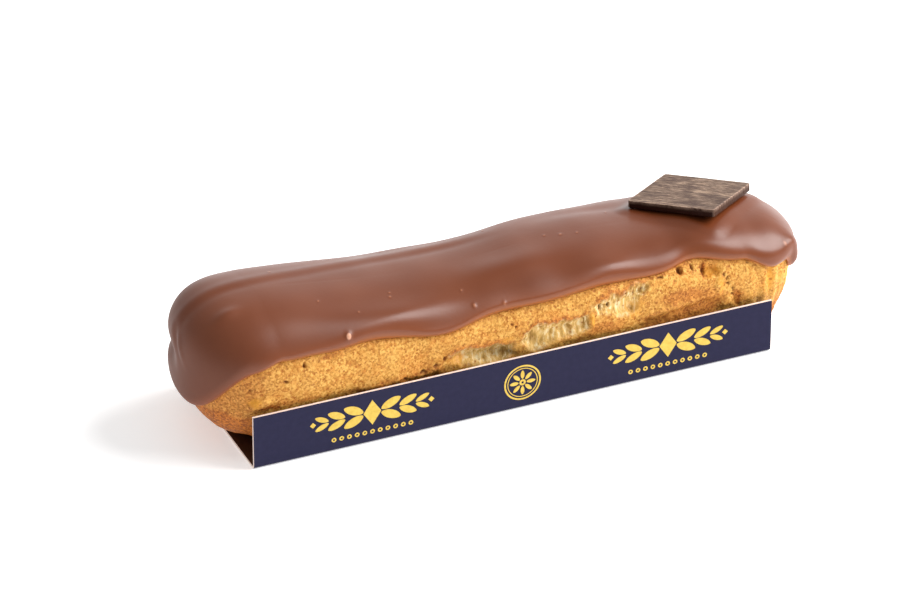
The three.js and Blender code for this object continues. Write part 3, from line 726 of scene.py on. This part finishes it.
# The crease beside the ridge runs from the first y to the second at the left end, and becomes
# a raised pleat with a furrow beside it. Each is cut across as a list of swells.
CREASE_RIGHT_Y, CREASE_LEFT_Y = 8.8, 3.0
CREASE, CREASE_X, CREASE_REACH = [(0, 2.4, -0.32)], 31, 12
PLEAT, PLEAT_FROM, PLEAT_OVER = [(0, 1.7, 0.26), (-2.4, 1.4, -0.12)], 12, 20
TIP_FOLD = [(0, 1.0, 0.25), (1.9, 1.2, -0.3)]
GLAZE_WAVES = [(0.16, 17.0, 22), (0.05, 7.0, 23)]
# Low swellings of the front: x and its width, y and its width, and how high.
SWELLINGS = [(-65.3, 2.6, -6.6, 1.6, 0.55), (3, 12, -7.5, 4.5, 0.8), (-32, 16, -15.5, 4, 2.1)]
# Where the glaze gathered thicker over its front and its back lip: place, width, thickness.
FRONT_BEADS = [
    (-26, 7, 0.4), (-4, 8, 1.0), (8, 8, 0.9), (22, 9, 1.8), (51, 7, 0.7), (62, 4, 0.3),
]
BACK_BEADS = [(-44, 8, 0.5), (-15, 7, 0.6), (14, 6, 0.5), (40, 8, 0.7)]
BEAD_UP, BEAD_REACH = 2.0, 5.0
# Grains that set in the glaze, x, y and radius, and the one crumb, with its height as well.
SPECKS = [
    (-50.4, 6.2, 0.4), (-44.3, -7.5, 0.32), (-27.1, -8.7, 0.36), (-26.6, -7.4, 0.28),
    (-8.7, -14.4, 0.42), (-1.6, -15.2, 0.36), (-10.1, -10.6, 0.3), (19.4, -0.9, 0.4),
    (15.8, 0.2, 0.3), (23.2, -1.6, 0.3), (68.3, -14.5, 0.4), (-36.5, -12.0, 0.28),
    (34.0, 6.0, 0.3), (-20.0, 12.0, 0.35), (5.0, 10.0, 0.3),
]
SPECK_LOWEST, SPECK_HEIGHT = 22, 0.12
STRAY_CRUMB, STRAY_HEIGHT = (-40.9, -16.2, 26.6, 0.75), 0.5
# The chocolate square's size and place. The glaze was soft when it was laid on, so it gave way
# under the square and welled up round it, as deep, as high and as far out as this.
SQUARE_SIDE, SQUARE_THICKNESS = 21.9, 1.8
SQUARE_CENTRE = (54.8, 4.3, 31.5)
SQUARE_LEAN_BACK, SQUARE_LEAN_RIGHT, SQUARE_TURN = (math.radians(a) for a in (12.0, 3.0, 41.6))
BED_GAP, BED_PRESS, BED_RISE, BED_DEEP = 0.08, 1.2, 0.5, 3.0
PRESS_RIM, PRESS_FADE = 1.5, 5.0
RISE_RIM, RISE_FADE = 0.1, 3.5
square_tilt = (
    Matrix.Rotation(-SQUARE_LEAN_BACK, 3, "X")
    @ Matrix.Rotation(SQUARE_LEAN_RIGHT, 3, "Y")
    @ Matrix.Rotation(SQUARE_TURN, 3, "Z")
)
square_axes = np.array(square_tilt)


def glaze_relief(points):
    """How far the glaze stands out from its even thickness, as a sum of bells: a long soft
    crease beside the ridge that turns into a raised pleat towards the left, low swellings of
    the front, a dent in the left tip's back with a thin fold beside it, a nose on the right
    end with a fuller shoulder over it, and slow waves. Crease, pleat and swellings fade out
    down the flank."""
    x, y, z = np.moveaxis(points, -1, 0)
    crease_y = mix(CREASE_RIGHT_Y, CREASE_LEFT_Y, smooth((-12 - x) / 58))
    crease_y = crease_y + 0.5 * lattice_noise(points * (1, 0, 0), 9.0, 21)
    crease = swell(CREASE, y - crease_y) * bump(x, CREASE_X, CREASE_REACH)
    crease += swell(PLEAT, y - crease_y) * smooth((PLEAT_FROM - x) / PLEAT_OVER)
    swelling = 0
    for at_x, long, at_y, wide, high in SWELLINGS:
        swelling += high * bump(x, at_x, long) * bump(y, at_y, wide)
    on_top = smooth((z - 24) / 3)
    dent = -1.6 * bump(z, 20.6, 2.4) * smooth((-66 - x) / 5) * smooth((y + 2) / 8)
    fold = swell(TIP_FOLD, y + 1.5 - 0.9 * (z - 25.2))
    fold *= bump(z, 25.0, 2.6) * smooth((-70.5 - x) / 2.5)
    nose = 1.6 * bump(z, 23.4, 1.5) * bump(y, -14.5, 3.0) * smooth((x - 66) / 6)
    shoulder = 0.9 * bump(z, 26.5, 4.0) * smooth((x - 62) / 8)
    ends = dent + fold + nose + shoulder
    return (crease + swelling) * on_top + ends + uneven(points, GLAZE_WAVES)


def glaze_specks(points):
    """Domes of the grains and of the one crumb: a bell for each, as wide as the grain."""
    x, y, z = np.moveaxis(points, -1, 0)
    grains = sum(bump(np.hypot(x - at_x, y - at_y), 0, size) for at_x, at_y, size in SPECKS)
    *middle, size = STRAY_CRUMB
    crumb_dome = bump(np.linalg.norm(points - middle, axis=-1), 0, size)
    return np.where(z > SPECK_LOWEST, np.clip(grains, 0, 1), 0), crumb_dome


def lip_share(from_lip, foot, turn):
    """The glaze's share of its thickness at a distance from its lip: a rolled edge rounds off
    as a quarter circle does, and a thin one has a small round edge and then grows slowly."""
    def rounded(share):
        return (1 - (1 - np.clip(share, 0, 1)) ** 2) ** LIP_POWER

    front = np.minimum(swell(FRONT_ROLLS, foot), 1)
    roll = mix(front, 1, smooth((np.sin(turn) + 1) / 2))
    roll = mix(roll, 1, smooth(np.abs(np.cos(turn)) / END_ROLL))
    thin = mix(THIN_SHARE * rounded(from_lip / THIN_ROUND), 1, smooth(from_lip / THIN_REACH))
    return mix(thin, rounded(from_lip / LIP_ROUND), roll)


def bedded(points):
    """Moves points along the square's normal, to lie close under it: all the way under it and
    less with their straight-line distance past its sides and with their depth below it."""
    local = (points - SQUARE_CENTRE) @ square_axes
    outside = np.maximum(np.abs(local[..., :2]) - SQUARE_SIDE / 2, 0)
    outside = np.linalg.norm(outside, axis=-1)
    clearance = -SQUARE_THICKNESS / 2 - local[..., 2]
    move = np.clip(clearance - BED_GAP, -BED_PRESS, BED_RISE)
    pressed = 1 - smooth((outside - PRESS_RIM) / PRESS_FADE)
    welled_up = 1 - smooth((outside - RISE_RIM) / RISE_FADE)
    welled_up *= 1 - smooth((clearance - BED_DEEP) / BED_DEEP)
    local[..., 2] += move * np.where(move < 0, pressed, welled_up)
    return local @ square_axes.T + SQUARE_CENTRE


def glaze_skin(side, end, rows_outside, rows_inside):
    """The glaze's outside, from its lip to the ridge, its inside, back down to the lip, and its
    fields: the grains and the crumb, how thin it is, which fades as exp(-distance from the
    lip), and where it set calm and where dull."""
    foot, turn = ring_stations(side, end)
    lip = lip_rise(foot, turn)

    def rows(count, crowding):
        share = (np.linspace(0, 1, count) ** crowding)[:, None]
        return shell_surface(foot[None], turn[None], mix(lip[None], np.pi / 2, share))

    base = rows(rows_outside, 1.5)
    step = np.linalg.norm(np.diff(base, axis=0), axis=-1)
    from_lip = np.concatenate([np.zeros((1, len(foot))), np.cumsum(step, 0)])
    to_ridge = np.linspace(0, 1, rows_outside)[:, None]
    lip_x, lip_y = base[0, :, 0], base[0, :, 1]
    gathered = mix(swell(FRONT_BEADS, lip_x), swell(BACK_BEADS, lip_x), smooth(0.5 + lip_y / 10))
    beads = gathered * bump(from_lip, BEAD_UP, BEAD_REACH) * (1 - to_ridge)
    grains, crumb_dome = glaze_specks(base)
    thickness = (GLAZE_THICKNESS + beads + glaze_relief(base)) * lip_share(from_lip, foot, turn)
    thickness += SPECK_HEIGHT * grains + STRAY_HEIGHT * crumb_dome
    outside = base + grid_normals(base) * (GLAZE_GAP + thickness)[..., None]
    outside[1:] = bedded(outside[1:])
    inner = rows(rows_inside, 1.0)
    inside = inner + grid_normals(inner) * GLAZE_GAP
    inside[0] = outside[0]
    fields = {
        "grain": grains,
        "crumb": crumb_dome,
        "thin": np.exp(-from_lip / THIN_FADE),
        "calm": smooth((CALM_FROM - base[..., 0]) / CALM_OVER),
        "dull": smooth((DULL_FROM - base[..., 0]) / DULL_OVER),
    }
    nothing = np.zeros((rows_inside, len(foot)))
    fields = {label: np.concatenate([value, nothing]) for label, value in fields.items()}
    return [outside, inside[::-1]], fields


GLAZE_BROWN, GLAZE_WARM = paint(106, 51, 23), paint(113, 57, 29)
GLAZE_THIN, GLAZE_EDGE = paint(124, 64, 34), paint(162, 92, 46)
GRAIN_TAN, CRUMB_PINK = paint(160, 98, 66), paint(214, 156, 126)
SATIN_SMOOTHER, SATIN_ROUGHER, CALM_ROUGHNESS, DULL_ROUGHNESS = 0.31, 0.4, 0.4, 0.56

glaze_material, glaze_shader = new_material("milk chocolate glaze", shine=0.42)
glaze_place = place_on(glaze_shader)
thin_edge = field(glaze_shader, "thin")
milk = ramp(noise_at(glaze_place, 60, 2.0, 0.5), (0.35, GLAZE_BROWN), (0.65, GLAZE_WARM))
milk = coated(milk, step_up(thin_edge, 0.05, 0.45), GLAZE_THIN)
milk = coated(milk, step_up(thin_edge, 0.5, 0.95), GLAZE_EDGE)
milk = coated(milk, step_up(field(glaze_shader, "grain"), 0.3, 0.9), GRAIN_TAN)
milk = coated(milk, step_up(field(glaze_shader, "crumb"), 0.35, 0.6), CRUMB_PINK)
connect(milk, glaze_shader.inputs["Base Color"])
satin = ramp(
    noise_at(glaze_place, 90, 3.0, 0.55), (0.3, grey(SATIN_SMOOTHER)), (0.7, grey(SATIN_ROUGHER)),
)
satin = coated(satin, field(glaze_shader, "calm"), grey(CALM_ROUGHNESS))
satin = coated(satin, field(glaze_shader, "dull"), grey(DULL_ROUGHNESS))
connect(satin, glaze_shader.inputs["Roughness"])
emboss(glaze_shader, noise_at(glaze_place, 1300, 3.0), strength=0.25, depth=0.00006)

glaze_grids, glaze_fields = glaze_skin(side=420, end=100, rows_outside=72, rows_inside=14)
glaze = closed_piece("poured_glaze", glaze_grids, glaze_material, glaze_fields)
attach(glaze, "root")
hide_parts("glaze")


# The dark chocolate square: cut from a thin sheet, scuffed on top, laid on the soft glaze so
# that it leans back and its front corner stands clear.
CORNER_POWER = 40.0
ARRIS = 0.12
# The painted highlight down each cut corner: its width as an angle seen from the middle, in
# radians.
CORNER_WIDTH = 0.012
CUT_BUMPS = [(0.06, 1.6, 31), (0.03, 0.5, 32)]
# The rows of points on the underside and on the cut edge.
ROWS_UNDER, ROWS_CUT = 5, 3


def cut_square(side, thickness, stations, rows):
    """A square slab: rings of a square with slightly rounded corners, shrunk to the middle on
    both faces, round a cut edge whose arrises are softened and a little uneven. Its fields are
    the top face, the rim with the cut corners, which take a painted highlight, and the front
    right side, which faces the lamp and is painted lighter."""
    angle = 2 * np.pi * (np.arange(stations) + 0.5) / stations
    reach = np.abs(np.cos(angle)) ** CORNER_POWER + np.abs(np.sin(angle)) ** CORNER_POWER
    ring = reach ** (-1 / CORNER_POWER)
    around = np.stack([np.cos(angle), np.sin(angle)], -1) * ring[:, None] * side / 2
    face, brow = 1 - 2 * ARRIS / side, 1 - 2 * ARRIS / thickness
    under = np.concatenate([[0.0], np.linspace(0.5, face, ROWS_UNDER - 1)])
    shrink = np.concatenate([under, np.ones(ROWS_CUT), np.linspace(1, 0, rows) * face])
    level = np.concatenate([np.full(ROWS_UNDER, -1.0), [-brow, 0, brow], np.full(rows, 1.0)])
    flat = around[None] * shrink[:, None, None]
    height = np.broadcast_to((level * thickness / 2)[:, None], flat.shape[:2])
    grid = np.concatenate([flat, height[..., None]], -1)
    edge = (np.abs(shrink - 1) < 0.02)[:, None]
    grid[..., :2] *= (1 + np.where(edge, uneven(grid, CUT_BUMPS), 0) * 2 / side)[..., None]
    below = ROWS_UNDER + ROWS_CUT
    number = np.arange(below + rows)[:, None] + 0 * angle
    top = np.where(number < below, 0.0, 1.0)
    # A painted highlight along the top arris and down the cut corners.
    rim = np.interp(number - below, [-2, -1, 0, 1, 2], [0, 0.5, 1, 0.4, 0])
    corner = bump(angle % (np.pi / 2), np.pi / 4, CORNER_WIDTH) * (number >= ROWS_UNDER)
    # The front right side, which faces the lamp, is painted lighter: painted light.
    dusty = np.abs(angle - 1.5 * np.pi) < np.pi / 4
    return grid, {
        "top": top, "rim": np.maximum(rim, 0.8 * corner * (1 - top)), "dusty": dusty * (1 - top),
    }


CUT_SIDE, CUT_SIDE_LIT = paint(42, 17, 10), paint(66, 42, 31)
DARK, DARK_BLOOM, RIM_HIGHLIGHT = paint(74, 52, 42), paint(172, 144, 120), paint(196, 164, 144)

# The sheet was scuffed one way, so its pattern lies in the square's own turn and is drawn out
# along it. The bloom is thick where the mottle is.
dark_material, dark_shader = new_material("dark chocolate", roughness=0.5, shine=0.08)
on_square = add_node(
    dark_shader.id_data, "ShaderNodeMapping", vector_type="TEXTURE", Vector=place_on(dark_shader),
    Location=[v * MM for v in SQUARE_CENTRE], Rotation=square_tilt.to_euler(),
).outputs["Vector"]
scuffs = noise_at(stretched(on_square, 4.5, 0.8, 1.0), 420, 5.0, 0.75)
mottle = noise_at(on_square, 190, 3.0)
bloom = times(step_up(scuffs, 0.43, 0.62), step_up(mottle, 0.3, 0.62))
# The side towards the lamp is painted lighter than the other cut sides: painted light.
cut = coated(CUT_SIDE, field(dark_shader, "dusty"), CUT_SIDE_LIT)
faced = coated(cut, field(dark_shader, "top"), coated(DARK, bloom, DARK_BLOOM))
# The painted highlight on the arrises, broken up by the scuffs.
painted_edge_highlight = times(field(dark_shader, "rim"), step_up(scuffs, 0.35, 0.6, 0.8))
connect(coated(faced, painted_edge_highlight, RIM_HIGHLIGHT), dark_shader.inputs["Base Color"])
emboss(dark_shader, scuffs, strength=0.5, depth=0.00008)

square, square_fields = cut_square(SQUARE_SIDE, SQUARE_THICKNESS, stations=400, rows=60)
square = square @ square_axes.T + SQUARE_CENTRE
plaque = closed_piece(
    "chocolate_square", [square], dark_material, square_fields, smooth_shaded=False,
)
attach(plaque, "root")
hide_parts("chocolate_plaque")


# The card holder: a strip of coated card, printed navy outside and dark brown inside, folded
# up into two walls. Its cut edges show the cream core.
HOLDER_LENGTH, HOLDER_WIDTH, WALL_HEIGHT = 130.0, 40.0, 13.8
FOLD_RADIUS = 1.0


def folded_strip(inset, wall_points, fold_points):
    """The line across the card at that depth under its outer face, from the top of the front
    wall down, under the base and up the back wall: three straights and two quarter circles."""
    half, radius = HOLDER_WIDTH / 2 - inset, FOLD_RADIUS - inset
    wall = np.linspace(WALL_HEIGHT, FOLD_RADIUS, wall_points)
    quarter = np.linspace(0, np.pi / 2, fold_points)[1:-1]
    front = np.stack([np.full(wall_points, -half), wall], -1)
    across, up = radius * (1 - np.cos(quarter)) - half, FOLD_RADIUS - radius * np.sin(quarter)
    corner = np.stack([across, up], -1)
    floor = np.linspace(-half + radius, half - radius, 2 * wall_points)
    base = np.stack([floor, np.full(2 * wall_points, inset)], -1)
    return np.concatenate([front, corner, base, corner[::-1] * (-1, 1), front[::-1] * (-1, 1)])


def card_face(inset, stations, wall_points, fold_points):
    """One face of the card as a grid: the line across it, carried along the holder."""
    line = folded_strip(inset, wall_points, fold_points)
    grid = np.empty((stations, len(line), 3))
    grid[..., 0] = np.linspace(-HOLDER_LENGTH / 2, HOLDER_LENGTH / 2, stations)[:, None]
    grid[..., 1:] = line[None]
    return grid


def open_grid(grid, flip=False):
    """Corner numbers of a grid's cells, which don't close round either axis."""
    rows, count = grid.shape[:2]
    i, j = np.meshgrid(np.arange(rows - 1), np.arange(count - 1), indexing="ij")
    a = i * count + j
    b, c, d = a + 1, a + count + 1, a + count
    return np.stack([a, d, c, b] if flip else [a, b, c, d], -1).reshape(-1, 4)


def rim_of(grid):
    """Corner numbers round a grid's edge, in order."""
    rows, count = grid.shape[:2]
    number = np.arange(rows * count).reshape(rows, count)
    return np.concatenate([number[0, :-1], number[:-1, -1], number[-1, :0:-1], number[:0:-1, 0]])


def printed(name, scale, detail, low, high, **finish):
    """A material whose colour wavers between two paints: the first where a noise pattern of
    that scale is at low's place or under it, and the second at high's and over it."""
    material, shader = new_material(name, **finish)
    connect(ramp(noise_at(place_on(shader), scale, detail), low, high), shader.inputs["Base Color"])
    return material, shader


navy, navy_shader = printed(
    "navy card print", 700, 4.0, (0.35, paint(38, 37, 63)), (0.65, paint(41, 40, 67)), shine=0.1,
)
emboss(navy_shader, noise_at(place_on(navy_shader), 2400, 3.0), strength=0.15, depth=0.00003)
brown_inside, _ = printed(
    "brown card inside", 500, 4.0, (0.3, paint(52, 24, 8)), (0.7, paint(70, 36, 16)), roughness=0.6,
)
cream_core, _ = printed(
    "cream card core", 1500, 3.0, (0.3, paint(232, 208, 196)), (0.7, paint(250, 232, 220)),
    roughness=0.8,
)

card_rows = {"stations": 131, "wall_points": 14, "fold_points": 8}
outer_face, inner_face = (card_face(inset, **card_rows) for inset in (0.0, CARD_THICKNESS))
face_points = outer_face.shape[0] * outer_face.shape[1]
outer_rim, inner_rim = rim_of(outer_face), rim_of(inner_face) + face_points
edge_faces = np.stack([outer_rim, inner_rim, np.roll(inner_rim, -1), np.roll(outer_rim, -1)], -1)
card_faces = [open_grid(outer_face, flip=True), open_grid(inner_face) + face_points, edge_faces]
card_points = np.concatenate([outer_face.reshape(-1, 3), inner_face.reshape(-1, 3)])
card_mesh = bpy.data.meshes.new("folded_card")
card_mesh.from_pydata((card_points * MM).tolist(), [], np.concatenate(card_faces).tolist())
for material in (navy, brown_inside, cream_core):
    card_mesh.materials.append(material)
card_paints = np.concatenate([np.full(len(faces), k) for k, faces in enumerate(card_faces)])
card_mesh.polygons.foreach_set("material_index", card_paints)
card = place_in_scene("folded_card", card_mesh)
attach(card, "root")
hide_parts("card_holder")


# The gold print on the front wall: thin ornaments of plain lozenges, leaves, dots and rings,
# two dividers and one round medal, in a film too thin to feel.
FILM = 0.04
PRINT_Y = -HOLDER_WIDTH / 2
LEAF_POWER = 1.3
# The dividers' places and middle line, their small end lozenges, their pairs of leaves, by how
# far out and up they are, their length and width, and the row of dots under them.
DIVIDERS_AT, DIVIDER_LINE = (-35.9, 38.4), 8.2
TIP_AWAY, TIP_SIZE = 14.6, 1.5
LEAF_PAIRS, LEAF_TILT = [(4.6, 1.5, 5.2, 2.2), (8.8, 1.25, 4.6, 1.8), (12.4, 1.0, 3.6, 1.3)], 0.42
DOTS_EACH_SIDE, DOT_STEP, DOT_LINE = 5, 1.9, 3.1
# The medal's middle, its rings by radius and stroke, and its rosette.
MEDAL_AT, MEDAL_RINGS = (1.5, 7.0), [(4.4, 0.42), (3.7, 0.2), (0.55, 0.5)]
PETALS, PETAL_AWAY = 8, 2.1


def on_wall(flat, out):
    """Points that far in front of the holder's wall."""
    return np.stack([flat[:, 0], np.full(len(flat), PRINT_Y - out), flat[:, 1]], -1)


def film_patch(x, z, along, across, tilt=0.0):
    """A closed patch of film from its outline: the middle and the outline on the wall, and the
    outline and the middle again in front of it."""
    outline = np.stack([
        x + along * math.cos(tilt) - across * math.sin(tilt),
        z + along * math.sin(tilt) + across * math.cos(tilt),
    ], -1)
    middle = np.broadcast_to(np.array([x, z]), outline.shape)
    return np.stack([
        on_wall(middle, 0), on_wall(outline, 0), on_wall(outline, FILM), on_wall(middle, FILM),
    ])


def leaf(x, z, long, wide, tilt):
    """A flat almond, whose width goes as the sine to a power."""
    angle = 2 * np.pi * np.arange(40) / 40
    across = np.sign(np.sin(angle)) * np.abs(np.sin(angle)) ** LEAF_POWER * wide / 2
    return film_patch(x, z, np.cos(angle) * long / 2, across, tilt)


def lozenge(x, z, long, high):
    """A flat lozenge: |along| / long + |across| / high = 1/2."""
    angle = 2 * np.pi * np.arange(40) / 40
    size = 1 / (np.abs(np.cos(angle)) + np.abs(np.sin(angle)))
    return film_patch(x, z, np.cos(angle) * size * long / 2, np.sin(angle) * size * high / 2)


def ring(x, z, radius, stroke):
    """A flat ring of that radius and stroke: circles through the corners of its section. A
    small one has fewer points."""
    points = 72 if radius > 1 else 24
    angle = 2 * np.pi * np.arange(points) / points
    circle = np.stack([np.cos(angle), np.sin(angle)], -1)
    inner, outer = (circle * (radius + half) + (x, z) for half in (-stroke / 2, stroke / 2))
    section = ((inner, FILM), (inner, 0), (outer, 0), (outer, FILM), (inner, FILM))
    return np.stack([on_wall(flat, out) for flat, out in section])


def divider(x):
    """One divider: a lozenge between pairs of leaves over a row of dots."""
    patches = [lozenge(x, DIVIDER_LINE, long=4.4, high=6.6)]
    for side in (-1, 1):
        for away, lift, long, wide in LEAF_PAIRS:
            for up in (-1, 1):
                at = (x + side * away, DIVIDER_LINE + up * lift)
                patches.append(leaf(*at, long, wide, side * up * LEAF_TILT))
        patches.append(lozenge(x + side * TIP_AWAY, DIVIDER_LINE, TIP_SIZE, TIP_SIZE))
    for k in range(-DOTS_EACH_SIDE, DOTS_EACH_SIDE + 1):
        patches.append(ring(x + DOT_STEP * k, DOT_LINE, radius=0.42, stroke=0.34))
    return patches


def medal(x, z):
    """The middle medal: two rings round a rosette of leaves, with a dot at its heart."""
    patches = [ring(x, z, radius, stroke) for radius, stroke in MEDAL_RINGS]
    for k in range(PETALS):
        angle = 2 * math.pi * k / PETALS
        at = (x + PETAL_AWAY * math.cos(angle), z + PETAL_AWAY * math.sin(angle))
        patches.append(leaf(*at, long=2.2, wide=0.95, tilt=angle))
    return patches


gold_material, _ = printed(
    "gold print", 900, 3.0, (0.3, paint(214, 176, 58)), (0.7, paint(236, 200, 84)), roughness=0.45,
)
ornaments = divider(DIVIDERS_AT[0]) + divider(DIVIDERS_AT[1]) + medal(*MEDAL_AT)
gold_print = closed_piece("gold_print", ornaments, gold_material, smooth_shaded=False)
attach(gold_print, "root")
